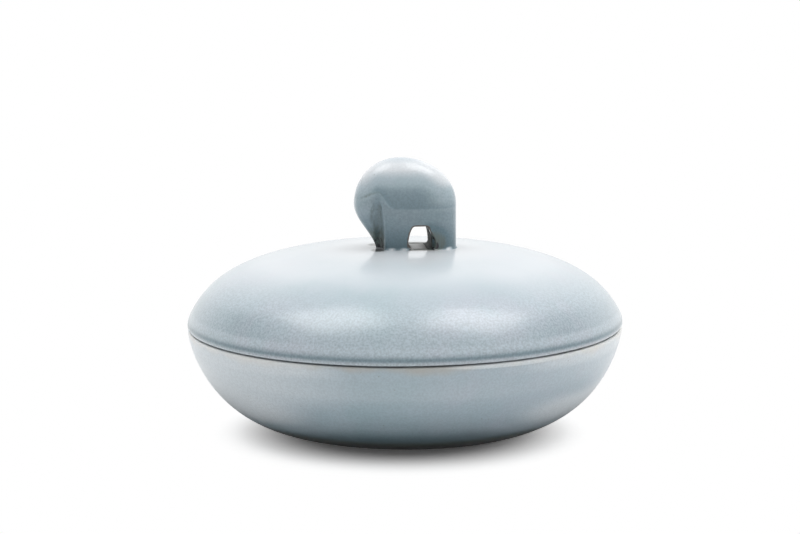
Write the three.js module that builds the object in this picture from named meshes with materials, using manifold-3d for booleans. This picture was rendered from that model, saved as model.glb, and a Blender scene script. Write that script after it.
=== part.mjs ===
// Round stoneware box: a footed bowl, a domed lid that drops into it, and an elephant knob on the lid.
// Millimetres, +Z up, origin on the table at the centre of the foot. The elephant faces -X.
import * as THREE from "three";
import { mergeVertices } from "three/addons/utils/BufferGeometryUtils.js";
import Module from "manifold-3d";

const wasm = await Module();
wasm.setup();

// Bowl
const rimRadius = 84.8;      // outside of the rim
const rimHeight = 41.8;      // table to the flat of the rim
const rimLean = 7;           // degrees the wall leans outward at the rim
const rimRound = 0.9;        // rounding of both rim edges
const bowlWall = 5.5;
const footRadius = 36.8;     // outside of the foot ring
const footLand = 5;          // width of the ring that stands on the table
const footHeight = 1.2;      // height of the ring, and of the hollow inside it
const footFlare = 3;         // degrees the belly rises where it leaves the foot
const bellyReach = 40.4;     // how far the belly runs out before it turns upward
const wallReach = 5.3;       // how far the wall runs down before it turns inward

// Lid
const lidOverhang = 0.2;     // lip of the lid past the rim
const lidRise = 31;          // seat to the crown
const crownReach = 50;       // how far the crown stays nearly level
const shoulderReach = 21.8;  // how far the shoulder keeps the slope of the lip
const lipRadius = 7.6;       // roll of the lip
const lipDrop = 1.2;         // seat to the widest ring of the lip
const lipSlope = 26;         // degrees of the roll above the widest ring
const lidWall = 5;
const flangeDepth = 6;       // how far the locating flange drops inside the rim
const flangeWall = 3.6;
const flangeClearance = 0.8; // flange to the inside of the bowl
const flangeRound = 1;
const seatGap = 0.3;         // glaze gap between the lid and the rim

// Elephant knob
const knobLength = 39.8;     // rump to forehead
const knobHeight = 35;       // crown of the lid to the top of the back
const knobWidth = 22;        // across the flanks
const feetWidth = 18.4;      // across the feet
const flankHeight = 17;      // where the flanks start to round over
const topShift = 2;          // top of the back, ahead of the middle
const hindLeg = 9.3;         // rump to the arch
const archWidth = 10.4;      // between the feet
const archCrown = 3.9;       // flat at the top of the arch
const archHeight = 9.2;
const foreLeg = 8.7;         // arch to the ridge of the groove
const trunkReach = 2.9;      // how far the tip of the trunk stands ahead of the ridge
const trunkWidth = 8;        // across the tip of the trunk
const grooveFoot = 5;        // width of the carved groove between the trunk and the foreleg, at the lid
const grooveWidth = 6.4;     // the same at its widest
const grooveHeight = 20.8;
const grooveDepth = 5.2;     // at the lid, running out toward the top
const grooveLean = 3.6;      // how far the ridge bends forward at its top
const luteGap = 0.3;         // slip joint between the knob and the lid

const turns = 72;            // segments around the turned pieces

const glaze = (name) => {
  const material = new THREE.MeshStandardMaterial({ color: 0xa9b8c0, roughness: 0.35, metalness: 0 });
  material.name = name;
  return material;
};

const point = (r, z) => new THREE.Vector2(r, z);

const polar = (centre, radius, degrees) => {
  const angle = THREE.MathUtils.degToRad(degrees);
  return point(centre.x + radius * Math.cos(angle), centre.y + radius * Math.sin(angle));
};

// Points along an arc of the profile, both ends included.
const arc = (centre, radius, from, to, steps) => {
  const points = [];
  for (let i = 0; i <= steps; i++) {
    points.push(polar(centre, radius, from + ((to - from) * i) / steps));
  }
  return points;
};

// Points of a curve moved sideways by the wall, toward the left of its run.
const wallInside = (curve, wall, steps) => {
  const points = [];
  for (let i = 0; i <= steps; i++) {
    const at = curve.getPoint(i / steps);
    const run = curve.getTangent(i / steps);
    points.push(point(at.x - run.y * wall, at.y + run.x * wall));
  }
  return points;
};

// The part of a profile on the axis side of a radius, ending exactly on that radius.
const upToRadius = (points, radius) => {
  const kept = [];
  for (let i = 0; i < points.length; i++) {
    if (points[i].x < radius) {
      kept.push(points[i]);
      continue;
    }
    const before = points[i - 1];
    kept.push(before.clone().lerp(points[i], (radius - before.x) / (points[i].x - before.x)));
    break;
  }
  return kept;
};

// Radius of a rising profile at a height.
const radiusAt = (points, height) => {
  const above = points.findIndex((p) => p.y > height);
  const low = points[above - 1];
  const high = points[above];
  return THREE.MathUtils.mapLinear(height, low.y, high.y, low.x, high.x);
};

// A profile of radius and height turned about +Z.
const turned = (profile) => {
  const geometry = new THREE.LatheGeometry(profile, turns);
  geometry.rotateX(Math.PI / 2);
  return geometry;
};

const solidOf = (geometry) => {
  const plain = geometry.clone();
  plain.deleteAttribute("normal");
  plain.deleteAttribute("uv");
  const merged = mergeVertices(plain, 1e-4);
  const vertProperties = new Float32Array(merged.attributes.position.array);
  const triVerts = new Uint32Array(merged.index.array);
  return new wasm.Manifold(new wasm.Mesh({ numProp: 3, vertProperties, triVerts }));
};

const geometryOf = (solid) => {
  const mesh = solid.getMesh();
  const geometry = new THREE.BufferGeometry();
  geometry.setAttribute("position", new THREE.BufferAttribute(mesh.vertProperties, 3));
  geometry.setIndex(new THREE.BufferAttribute(mesh.triVerts, 1));
  geometry.computeVertexNormals();
  return geometry;
};

// Bowl: belly curve from the foot to the rim, and the same curve one wall further in.
const bellyStart = point(footRadius, footHeight);
const bellyEnd = point(rimRadius, rimHeight - rimRound);
const belly = new THREE.CubicBezierCurve(
  bellyStart,
  polar(bellyStart, bellyReach, footFlare),
  polar(bellyEnd, wallReach, -90 - rimLean),
  bellyEnd,
);
const bowlInside = wallInside(belly, bowlWall, 11);
const insideRim = bowlInside[bowlInside.length - 1].x;
const rimMouth = insideRim + rimRound;
const flangeOutside = radiusAt(bowlInside, rimHeight + seatGap - flangeDepth) - flangeClearance;
const bowlProfile = [
  point(0, footHeight),
  point(footRadius - footLand - footHeight, footHeight),
  point(footRadius - footLand, 0),
  point(footRadius - footHeight / 2, 0),
  ...belly.getPoints(13),
  ...arc(point(rimRadius - rimRound, rimHeight - rimRound), rimRound, 30, 90, 2),
  ...arc(point(rimMouth, rimHeight - rimRound), rimRound, 90, 180, 3),
  ...bowlInside.reverse().slice(1),
  point(0, bowlInside[bowlInside.length - 1].y),
];

// Lid, from its seat up: rolled lip, dome, the inside of the dome and the locating flange.
const lipCentre = point(rimRadius + lidOverhang - lipRadius, lipDrop);
const shoulder = polar(lipCentre, lipRadius, lipSlope);
const crown = point(0, lidRise);
const dome = new THREE.CubicBezierCurve(
  shoulder,
  polar(shoulder, shoulderReach, 90 + lipSlope),
  point(crownReach, lidRise),
  crown,
);
const flangeInside = flangeOutside - flangeWall;
const domeInside = upToRadius(wallInside(dome, lidWall, 12).reverse(), flangeInside);
domeInside[0].x = 0;
const lipStart = -THREE.MathUtils.radToDeg(Math.asin((lipDrop - rimRound / 2) / lipRadius));
const lipEdge = polar(lipCentre, lipRadius, lipStart);
const lidProfile = [
  ...domeInside,
  point(flangeInside, flangeRound - flangeDepth),
  point(flangeInside + flangeRound, -flangeDepth),
  point(flangeOutside - flangeRound, -flangeDepth),
  point(flangeOutside, flangeRound - flangeDepth),
  point(flangeOutside, 0),
  point(lipEdge.x - rimRound, 0),
  ...arc(lipCentre, lipRadius, lipStart, lipSlope, 5),
  ...dome.getPoints(13).slice(1),
];

// Elephant: level sections stacked from the feet to the back, each as long as the side view there.
const rump = knobLength / 2;
const forehead = -rump;
const feetFront = rump - hindLeg - archWidth - foreLeg;
const trunkTip = feetFront - trunkReach;
const brow = new THREE.CubicBezierCurve(
  point(trunkTip, 0),
  point(trunkTip - 1.6, flankHeight * 0.35),
  point(forehead, flankHeight * 0.65),
  point(forehead, flankHeight),
);

// One closed section: a rounded rectangle whose front narrows to the trunk.
const section = (front, back, halfWidth, squareness, trunkHalf, height) => {
  const ring = [];
  const sides = 52;
  const middle = (front + back) / 2;
  const reach = (back - front) / 2;
  for (let i = 0; i < sides; i++) {
    const angle = (2 * Math.PI * i) / sides;
    const along = Math.sign(Math.cos(angle)) * Math.abs(Math.cos(angle)) ** (2 / squareness);
    const across = Math.sign(Math.sin(angle)) * Math.abs(Math.sin(angle)) ** (2 / squareness);
    const x = middle + reach * along;
    const narrowing = THREE.MathUtils.smoothstep(-x, -feetFront, -feetFront + grooveWidth / 2);
    const half = THREE.MathUtils.lerp(halfWidth, Math.min(trunkHalf, halfWidth), narrowing);
    ring.push(new THREE.Vector3(x, half * across, height));
  }
  return ring;
};

// A closed skin over rings that all have the same number of points.
const skin = (rings) => {
  const sides = rings[0].length;
  const corners = rings.flat();
  const bottom = corners.length;
  const top = bottom + 1;
  const middleOf = (ring) => ring.reduce((sum, p) => sum.add(p), new THREE.Vector3()).divideScalar(sides);
  corners.push(middleOf(rings[0]), middleOf(rings[rings.length - 1]));
  const index = [];
  for (let i = 0; i < sides; i++) {
    const next = (i + 1) % sides;
    for (let level = 0; level < rings.length - 1; level++) {
      const a = level * sides;
      const b = a + sides;
      index.push(a + i, a + next, b + next, a + i, b + next, b + i);
    }
    const last = (rings.length - 1) * sides;
    index.push(bottom, next, i, top, last + i, last + next);
  }
  const geometry = new THREE.BufferGeometry().setFromPoints(corners);
  geometry.setIndex(index);
  return geometry;
};

const rings = [section(trunkTip, rump, feetWidth / 2, 2.8, trunkWidth / 2, -4)];
for (let i = 0; i <= 9; i++) {
  const side = brow.getPoint(i / 9);
  const swell = Math.sin((Math.PI / 2) * (side.y / flankHeight));
  const half = THREE.MathUtils.lerp(feetWidth, knobWidth, swell) / 2;
  const trunkHalf = THREE.MathUtils.lerp(trunkWidth, knobWidth, (side.y / flankHeight) ** 1.2) / 2;
  rings.push(section(side.x, rump, half, 2.8 - 0.3 * swell, trunkHalf, side.y));
}
for (let i = 1; i <= 10; i++) {
  const climb = (Math.PI / 2) * Math.min(i / 10, 0.985);
  const front = -topShift - (rump - topShift) * Math.cos(climb) ** 0.92;
  const back = -topShift + (rump + topShift) * Math.cos(climb);
  const half = (knobWidth / 2) * Math.cos(climb);
  const height = flankHeight + (knobHeight - flankHeight) * Math.sin(climb);
  rings.push(section(front, back, half, 2.5 - 0.4 * (i / 10), half, height));
}

// Arch between the legs, cut right through.
const archMiddle = rump - hindLeg - archWidth / 2;
const archShape = new THREE.Shape();
archShape.moveTo(archMiddle - archWidth / 2, -5);
archShape.lineTo(archMiddle + archWidth / 2, -5);
archShape.lineTo(archMiddle + archWidth / 2, 0);
archShape.bezierCurveTo(
  archMiddle + archWidth / 2 - 0.7, archHeight * 0.55,
  archMiddle + archCrown / 2 + 1.8, archHeight,
  archMiddle + archCrown / 2, archHeight,
);
archShape.lineTo(archMiddle - archCrown / 2, archHeight);
archShape.bezierCurveTo(
  archMiddle - archCrown / 2 - 1.8, archHeight,
  archMiddle - archWidth / 2 + 0.7, archHeight * 0.55,
  archMiddle - archWidth / 2, 0,
);
const archDepth = { depth: 2 * knobWidth, bevelEnabled: false, curveSegments: 6 };
const arch = new THREE.ExtrudeGeometry(archShape, archDepth);
arch.translate(0, 0, -knobWidth);
arch.rotateX(Math.PI / 2);

// Half width of a section at a distance along it.
const halfAt = (ring, x) => {
  const after = ring.findIndex((p) => p.x < x);
  const behind = ring[after - 1];
  return THREE.MathUtils.mapLinear(x, behind.x, ring[after].x, behind.y, ring[after].y);
};

// Groove between the trunk and the foreleg: a steep wall at the leg and a slope that runs out on the
// trunk, cut back from the section of the body at the same height.
const grooveRing = (ring, height) => {
  const rise = THREE.MathUtils.clamp(height / grooveHeight, 0, 1);
  const ridge = feetFront - grooveLean * (0.25 * rise + 0.75 * rise ** 8);
  const widest = THREE.MathUtils.lerp(grooveFoot, grooveWidth, Math.sin(Math.PI * rise));
  const width = widest * Math.sqrt(1 - rise ** 5);
  const depth = grooveDepth * (1 - rise ** 1.3);
  const cut = [ridge, ridge - width].map((x) => new THREE.Vector3(x, knobWidth, height));
  for (const [share, deep] of [[1, -0.12], [0.7, 0.34], [0.45, 0.82], [0.25, 1], [0, -0.12]]) {
    const x = Math.max(ridge - width * share, ring[ring.length / 2].x + 0.2);
    const half = halfAt(ring, x);
    cut.push(new THREE.Vector3(x, half - Math.min(depth * deep, half * 0.7), height));
  }
  return cut;
};
const carved = rings.filter((ring) => ring[0].z < grooveHeight);
const grooveRings = carved.map((ring) => grooveRing(ring, ring[0].z));
grooveRings.push(grooveRing(rings[carved.length], grooveHeight - 0.4));
const groove = skin(grooveRings);

// The outside of the dome as one solid, raised by the slip joint, trims the feet to the lid.
const underFeet = turned([point(0, -flangeDepth), point(shoulder.x, -flangeDepth), ...dome.getPoints(13)]);
underFeet.translate(0, 0, luteGap - lidRise);

const knobSolid = solidOf(skin(rings))
  .subtract(solidOf(arch))
  .subtract(solidOf(groove))
  .subtract(solidOf(groove).mirror([0, 1, 0]))
  .subtract(solidOf(underFeet));

const box = new THREE.Group();
box.name = "round_box";

const bowl = new THREE.Mesh(turned(bowlProfile), glaze("bowl_glaze"));
bowl.name = "bowl";
box.add(bowl);

const cover = new THREE.Group();
cover.name = "cover";
cover.position.z = rimHeight + seatGap;
box.add(cover);

const lid = new THREE.Mesh(turned(lidProfile), glaze("lid_glaze"));
lid.name = "lid";
cover.add(lid);

const elephant = new THREE.Mesh(geometryOf(knobSolid), glaze("knob_glaze"));
elephant.name = "elephant_knob";
elephant.position.z = lidRise;
cover.add(elephant);

export default box;
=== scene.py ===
import math

import bmesh
import bpy
import numpy as np
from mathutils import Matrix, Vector
from mathutils.geometry import interpolate_bezier


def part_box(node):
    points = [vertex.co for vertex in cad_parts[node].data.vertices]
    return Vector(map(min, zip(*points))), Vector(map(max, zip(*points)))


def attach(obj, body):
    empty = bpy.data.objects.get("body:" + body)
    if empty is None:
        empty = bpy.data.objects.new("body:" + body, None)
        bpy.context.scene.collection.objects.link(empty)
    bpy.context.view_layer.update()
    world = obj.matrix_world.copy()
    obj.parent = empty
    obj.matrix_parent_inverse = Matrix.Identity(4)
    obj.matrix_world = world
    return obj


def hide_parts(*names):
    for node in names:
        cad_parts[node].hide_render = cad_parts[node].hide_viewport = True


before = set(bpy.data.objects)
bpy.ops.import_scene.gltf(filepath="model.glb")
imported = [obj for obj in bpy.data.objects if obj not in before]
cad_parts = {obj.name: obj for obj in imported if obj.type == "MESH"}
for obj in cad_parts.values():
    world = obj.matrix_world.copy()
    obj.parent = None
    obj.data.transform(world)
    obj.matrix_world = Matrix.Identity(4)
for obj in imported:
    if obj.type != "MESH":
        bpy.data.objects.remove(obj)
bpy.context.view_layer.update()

mm = 0.001
print("frame loaded:", ", ".join(sorted(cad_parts)))

viewpoint = {
    "azimuth": -6.0,                # degrees round the box, from the front
    "distance": 1.2,                # level distance to the axis of the box
    "height": 0.26706,
    "pitch": 9.563,                 # degrees looking down
    "aim": 0.092,                   # degrees the box sits off the middle of the picture
    "lens": 140.18,
    "sensor": 36,
    "farthest": 20,
}
sight = math.radians(viewpoint["azimuth"])
bpy.ops.object.select_all(action="DESELECT")
bpy.ops.object.camera_add(
    location=(
        viewpoint["distance"] * math.sin(sight),
        -viewpoint["distance"] * math.cos(sight),
        viewpoint["height"],
    ),
    rotation=(
        math.radians(90 - viewpoint["pitch"]),
        0,
        sight + math.radians(viewpoint["aim"]),
    ),
)
camera = bpy.context.object
camera.name = "camera"
camera.data.lens = viewpoint["lens"]
camera.data.sensor_width = viewpoint["sensor"]
camera.data.clip_end = viewpoint["farthest"]
bpy.context.scene.camera = camera
print("camera set")


def clearSelection():
    if bpy.context.mode != "OBJECT":
        bpy.ops.object.mode_set(mode="OBJECT")
    bpy.ops.object.select_all(action="DESELECT")


def curvePoints(start, startHandle, endHandle, end, count):
    return [Vector(p) for p in interpolate_bezier(start, startHandle, endHandle, end, count)]


def polar(centre, reach, degrees):
    angle = math.radians(degrees)
    return Vector((centre[0] + reach * math.cos(angle), centre[1] + reach * math.sin(angle)))


def wallInside(outside, wall):      # the same curve one wall further in, to the left of its run
    inside = []
    for i, here in enumerate(outside):
        run = (outside[min(i + 1, len(outside) - 1)] - outside[max(i - 1, 0)]).normalized()
        inside.append(Vector((here.x - run.y * wall, here.y + run.x * wall)))
    return inside


def softOutline(corners, steps=7):  # a corner with a third number is rounded by that radius
    outline = []
    for i, corner in enumerate(corners):
        here = Vector(corner[:2])
        if len(corner) == 2:
            outline.append(here)
            continue
        back = (Vector(corners[i - 1][:2]) - here).normalized()
        ahead = (Vector(corners[i + 1][:2]) - here).normalized()
        half = back.angle(ahead) / 2
        middle = here + (back + ahead).normalized() * corner[2] / math.sin(half)
        first = here + back * corner[2] / math.tan(half) - middle
        last = here + ahead * corner[2] / math.tan(half) - middle
        start = math.atan2(first.y, first.x)
        turn = math.atan2(last.y, last.x) - start
        turn = (turn + math.pi) % (2 * math.pi) - math.pi
        for k in range(steps + 1):
            angle = math.degrees(start + turn * k / steps)
            outline.append(polar(middle, corner[2], angle))
    return outline


def drawChain(name, points):        # vertices drawn one after another, each extruded from the last
    clearSelection()
    bpy.ops.mesh.primitive_circle_add(vertices=3, radius=mm, location=(0, 0, 0))
    piece = bpy.context.object
    piece.name = piece.data.name = name
    bpy.ops.object.mode_set(mode="EDIT")
    bpy.ops.mesh.select_all(action="SELECT")
    bpy.ops.mesh.merge(type="CENTER")
    bpy.ops.transform.translate(value=points[0])
    for here, ahead in zip(points, points[1:]):
        bpy.ops.mesh.extrude_vertices_move(TRANSFORM_OT_translate={"value": ahead - here})
    return piece


def turnPiece(name, outline, turns):
    piece = drawChain(name, [Vector((r, 0, z)) * mm for r, z in outline])
    bpy.ops.mesh.select_all(action="SELECT")
    bpy.ops.mesh.spin(steps=turns, angle=2 * math.pi, center=(0, 0, 0), axis=(0, 0, 1))
    bpy.ops.mesh.select_all(action="SELECT")
    bpy.ops.mesh.remove_doubles(threshold=1e-6)
    bpy.ops.mesh.normals_make_consistent(inside=False)
    bpy.ops.object.mode_set(mode="OBJECT")
    bpy.ops.object.shade_smooth()
    return piece


def applyModifier(piece, kind, **settings):
    clearSelection()
    piece.select_set(True)
    bpy.context.view_layer.objects.active = piece
    bpy.ops.object.modifier_add(type=kind)
    modifier = piece.modifiers[-1]
    for key, value in settings.items():
        setattr(modifier, key, value)
    bpy.ops.object.modifier_apply(modifier=modifier.name)


def cutAway(piece, cutter):
    applyModifier(piece, "BOOLEAN", object=cutter, operation="DIFFERENCE", solver="EXACT")
    bpy.data.objects.remove(cutter)


def paint(piece, name, values):     # one number at each vertex, read by the glaze
    attribute = piece.data.attributes.new(name, "FLOAT", "POINT")
    attribute.data.foreach_set("value", np.asarray(values, np.float32))


def vertexRows(piece, what):        # a row of three numbers for each vertex
    rows = np.zeros(len(piece.data.vertices) * 3, np.float32)
    piece.data.vertices.foreach_get(what, rows)
    return rows.reshape(-1, 3).astype(float)


def places(piece):
    return vertexRows(piece, "co")


def place(piece, co):
    piece.data.vertices.foreach_set("co", co.astype(np.float32).ravel())
    piece.data.update()


def smoothstep(low, high, value):
    t = np.clip((value - low) / (high - low), 0, 1)
    return t * t * (3 - 2 * t)


def within(span, value):            # up from its first number to its second, and down from third to fourth
    share = smoothstep(span[0], span[1], value)
    return share if len(span) == 2 else share * smoothstep(span[3], span[2], value)


def bell(middle, spread, value):
    return np.exp(-(((value - middle) / spread) ** 2))


def follow(curve, value):           # a curve given as pairs of a place and the value there
    return np.interp(value, *zip(*curve))


def facing(co):                     # how far to the camera's right and toward it a point lies, from -1 to 1
    r = np.maximum(np.hypot(co[:, 0], co[:, 1]), 1)
    right = (co[:, 0] * math.cos(sight) + co[:, 1] * math.sin(sight)) / r
    toward = (co[:, 0] * math.sin(sight) - co[:, 1] * math.cos(sight)) / r
    return right, toward


thrown = {
    "turns": 192,
    "unevenness": 0.00016,          # how far the thrown wall wanders
    "wander": 0.035,                # size of the wandering
    "rimSlope": 0.0086,             # the rim dips on the left by this slope
    "dipReach": 0.012,              # how far above and below the rim the dip is felt
    "dipRest": 0.3,                 # share of the dip that stays further off
    "standing": 0.008,              # the dip fades out below this height, so the foot stays flat
}
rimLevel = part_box("bowl")[1].z


def throwUneven(piece):
    wander = bpy.data.textures.new(piece.name + "Wander", "CLOUDS")
    wander.noise_scale = thrown["wander"]
    wander.noise_depth = 1
    applyModifier(
        piece, "DISPLACE", texture=wander, strength=thrown["unevenness"], mid_level=0.5,
        texture_coords="LOCAL",
    )
    co = places(piece)
    share = thrown["dipRest"] + (1 - thrown["dipRest"]) * bell(rimLevel, thrown["dipReach"], co[:, 2])
    share *= smoothstep(0, thrown["standing"], co[:, 2])
    co[:, 2] += thrown["rimSlope"] * share * co[:, 0]
    co[:, 2] = np.maximum(co[:, 2], 0)
    place(piece, co)


bowlSet = {
    "rimRadius": 84.8,
    "rimHeight": 41.8,
    "rimLean": 7,
    "rimRound": 0.85,
    "rimStretch": 1.8,              # the straight stretch of the wall below the rim
    "wall": 5.5,
    "footRadius": 36.8,
    "footLand": 5,
    "footHeight": 1.2,
    "footFlare": 3,
    "footRounds": (0.8, 0.5, 0.5, 0.4),  # from the recess under the bowl out to its belly
    "footTop": 0.02,                # the foot's last corner stands this far above the recess
    "footBlend": 1.2,               # the belly's curve is left out this close to the foot
    "bellyReach": 40.4,
    "wallReach": 5.3,
    "bellyEnd": 40.9,
    "bellySteps": 64,
    "recessRings": (0, 3, 8, 14, 20, 26),
    "floorRings": (30, 24, 18, 12, 7, 3, 0),
    "glazeDepth": 2.2,              # what lies this close to the outer curve is outside
    "thinBand": 4.6,                # thin glaze below the rim
    "bareRim": (0.18, 0.04),        # bare clay this far below the rim
    "bareRimIn": (0.7, 1.6),        # and this far in from its edge
    "bareFoot": (1.0, 0.3),         # and below these heights on the foot
    "bareFootIn": 2,                # and this far inside its land
    "glazeRun": (                   # thicker glaze and painted shade toward the foot, by height
        (0, 0.8), (8, 0.75), (11, 0.35), (13.5, 0), (16, -0.3), (19, -0.42), (23, -0.34), (28, -0.1),
        (35, -0.12),
    ),
    "frontShade": (                   # and painted shade at the front
        (6, 0), (9.6, 0.25), (13, 0.44), (18, 0.66), (22.5, 0.5), (26, 0.1), (29, -0.2), (36, -0.1),
    ),
    "frontSpan": (0.55, 1),
    "paintedLightZones": (                  # painted light: how much, from left (1) to right (-1), by height
        (0.72, (0.1, 0.9), (6, 18)),
        (0.35, (-0.5, -0.95), (24, 36)),
        (0.2, (0.35, 0.8), (8, 13, 19, 27)),
        (0.62, (-0.35, -0.8), (8, 13, 19, 27)),
        (0.55, (0.15, 0.65), (35, 39)),
        (0.45, (-0.35, -0.75), (35, 39)),
    ),
    "rimPaintedGlint": 2.0,                # a painted glint on the rim's edge
    "glintMiddle": -0.45,
    "glintSpread": 0.2,
    "glintDrop": (1.4, 0.7),
    "footShade": 0.92,               # painted shade above the foot
    "footShadeSpan": (11.5, 5.2),
    "grain": 0.5,
}


def bowlCurves():
    b = bowlSet
    foot = Vector((b["footRadius"], b["footHeight"]))
    end = Vector((b["rimRadius"], b["bellyEnd"]))
    belly = curvePoints(
        foot, polar(foot, b["bellyReach"], b["footFlare"]),
        polar(end, b["wallReach"], -90 - b["rimLean"]), end, b["bellySteps"],
    )
    return belly, wallInside(belly, b["wall"])


def bowlOutline():
    b = bowlSet
    belly, inside = bowlCurves()
    lean = math.tan(math.radians(b["rimLean"]))
    rim = b["rimHeight"]
    clear = rim - b["rimStretch"]
    land = b["footRadius"] - b["footLand"]
    h = b["footHeight"]
    recessRound, landRound, edgeRound, topRound = b["footRounds"]
    corners = [(r, h) for r in b["recessRings"]]
    corners += [
        (land - h, h, recessRound), (land, 0, landRound), (b["footRadius"] - h / 2, 0, edgeRound),
        (b["footRadius"], h + b["footTop"], topRound),
    ]
    corners += [tuple(p) for p in belly if p.x > b["footRadius"] + b["footBlend"] and p.y < clear]
    corners += [(p.x + lean * (rim - p.y), rim, b["rimRound"]) for p in (belly[-1], inside[-1])]
    corners += [tuple(p) for p in reversed(inside) if p.y < clear]
    corners += [(r, inside[0].y) for r in b["floorRings"]]
    return softOutline(corners)


def paintBowl(bowl):
    b = bowlSet
    belly = bowlCurves()[0]
    co = places(bowl) / mm
    r, z = np.hypot(co[:, 0], co[:, 1]), co[:, 2]
    below = b["rimHeight"] - z
    right, toward = facing(co)
    outside = r > np.interp(z, [p.y for p in belly], [p.x for p in belly]) - b["glazeDepth"]
    paint(bowl, "thin", np.where(outside, 1 - below / b["thinBand"], 0).clip(0, 1))
    rimFlat = within(b["bareRim"], below) * within(b["bareRimIn"], b["rimRadius"] - r)
    footFlat = within(b["bareFoot"], z) * (r > b["footRadius"] - b["footLand"] - b["bareFootIn"])
    bare = np.maximum(rimFlat, footFlat)
    paint(bowl, "bare", bare)
    # thicker glaze and painted shade toward the foot, and more painted shade at the front
    run = follow(b["glazeRun"], z) + follow(b["frontShade"], z) * within(b["frontSpan"], toward)
    # painted light on the sides of the bowl
    for amount, around, heights in b["paintedLightZones"]:
        run -= amount * within(around, -right) * within(heights, z)
    # a painted glint on the rim's edge
    run -= b["rimPaintedGlint"] * bell(b["glintMiddle"], b["glintSpread"], -right) * within(b["glintDrop"], below)
    paint(bowl, "run", run * outside)
    # painted shade above the foot
    paint(bowl, "poolAndShade", b["footShade"] * within(b["footShadeSpan"], z) * outside * (1 - bare))
    paint(bowl, "grain", np.full(len(co), b["grain"]))


def makeBowl():
    bowl = turnPiece("glazed_bowl", bowlOutline(), thrown["turns"])
    paintBowl(bowl)
    throwUneven(bowl)
    return bowl


bowl = makeBowl()
print("bowl turned:", len(bowl.data.polygons), "faces")


lidSet = {
    "seat": 42.1,
    "overhang": 0.14,
    "rise": 31,
    "crownReach": 50,
    "shoulderReach": 21.8,
    "domeSteps": 90,
    "lipRadius": 7.6,
    "lipDrop": 1.3,
    "lipSlope": 26,
    "lipSteps": 12,
    "lipUnder": 1.15,               # roll under the lip
    "rollTurn": (-84, -6),          # degrees
    "rollSteps": 14,
    "wall": 5,
    "ceilingStep": 1.2,             # from the end of the inside curve to the flange, across and down
    "ceilingRound": 0.9,
    "flangeDepth": 6,
    "flangeWall": 3.6,
    "flangeClearance": 0.8,
    "flangeRound": 1,
    "seatRound": 0.5,
    "bareSeat": (0.35, 0.05),       # bare clay where the lid sits on the rim, by height
    "bareSeatIn": 1.2,              # ending this far inside the rim's edge
    "bareFlange": 0.05,             # and on the flange below this height
    "bareMargin": 0.2,
    "tunnelMiddle": 5.4,            # the floor of the arch under the knob
    "tunnelHalf": (5.6, 10),        # half its length and half its depth
    "tunnelSpan": (1.15, 0.85),
    "tunnelLeft": (-0.55, -0.9),    # where it is darker, in shares of those halves
    "tunnelRight": (-0.1, 0.8),
    "tunnelRightTone": 0.85,
    "tunnelMouths": (0.55, 0.78),
    "tunnelBare": (0.45, 0.5),      # how bare it is, and how much more so there
    "tunnelShade": 0.75,
    "contactShadeAt": (-11, 6.9),          # painted shadow at the foot of the carved grooves
    "contactShadeReach": (3.0, 3.8),
    "contactShadeSpan": (1.25, 0.55),
    "grainSpan": (27, 14),
    "glossSpan": (52, 18),          # glossy glaze on the crown, by radius
    "glossAbove": 16.5,
    "lipShadeAndLight": (                     # painted shade in a band on the lip, painted light below and above it, by height
        (0, -0.35), (1.0, -0.25), (1.7, 0.55), (2.4, 0.78), (3.3, 0.42), (4.6, -0.08), (5.5, -0.34),
        (6.8, 0),
    ),
    "lipBand": 9,
    "crownPaintedLight": 0.52,              # painted light on the crown
    "crownSpan": (75, 44),
    "topPaintedLight": 0.2,                 # and more of it round the knob
    "topSpan": (40, 22),
    "farLoss": 0.2,                 # less so on the far side
    "farSpan": (0.2, 0.8),
    "farRadius": (20, 34),
    "shadeAndLightZones": (                   # painted shade where positive and painted light where negative: how much, at what radius and height, how far aside
        (0.22, (52, 70), (3, 6, 11, 20), (0.95, 0.7)),
        (0.25, (52, 70), (4, 7, 13, 20), (0.45, 0.85)),
        (-0.2, (44, 58), (11, 18), (0.45, 0.8)),
    ),
}


def domeCurve():
    d = lidSet
    centre = Vector((bowlSet["rimRadius"] + d["overhang"] - d["lipRadius"], d["lipDrop"]))
    shoulder = polar(centre, d["lipRadius"], d["lipSlope"])
    crown = Vector((0, d["rise"]))
    dome = curvePoints(
        shoulder, polar(shoulder, d["shoulderReach"], 90 + d["lipSlope"]),
        Vector((d["crownReach"], d["rise"])), crown, d["domeSteps"],
    )
    return centre, dome


def flangeSides():                  # outer and inner radius of the flange
    d = lidSet
    bowlInside = bowlCurves()[1]
    depth = d["seat"] - d["flangeDepth"]
    room = np.interp(depth, [p.y for p in bowlInside], [p.x for p in bowlInside])
    outer = room - d["flangeClearance"]
    return outer, outer - d["flangeWall"]


def lidOutline():
    d = lidSet
    centre, dome = domeCurve()
    outer, inner = flangeSides()
    inside = [p for p in reversed(wallInside(dome, d["wall"])) if p.x < inner - d["ceilingStep"]]
    inside[0].x = 0
    ceiling = inside[-1].y - d["ceilingStep"]
    bottom = -d["flangeDepth"]
    lip = [polar(centre, d["lipRadius"], a) for a in np.linspace(0, d["lipSlope"], d["lipSteps"])]
    tuck = Vector((lip[0].x - d["lipUnder"], lip[0].y))
    roll = [polar(tuck, d["lipUnder"], a) for a in np.linspace(*d["rollTurn"], d["rollSteps"])]
    corners = [tuple(p) for p in inside]
    corners += [
        (inner, ceiling, d["ceilingRound"]), (inner, bottom, d["flangeRound"]),
        (outer, bottom, d["flangeRound"]), (outer, roll[0].y, d["seatRound"]),
    ]
    corners += [tuple(p) for p in roll + lip + dome[1:]]
    return softOutline([(c[0], c[1] + d["seat"], *c[2:]) for c in corners])


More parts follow.
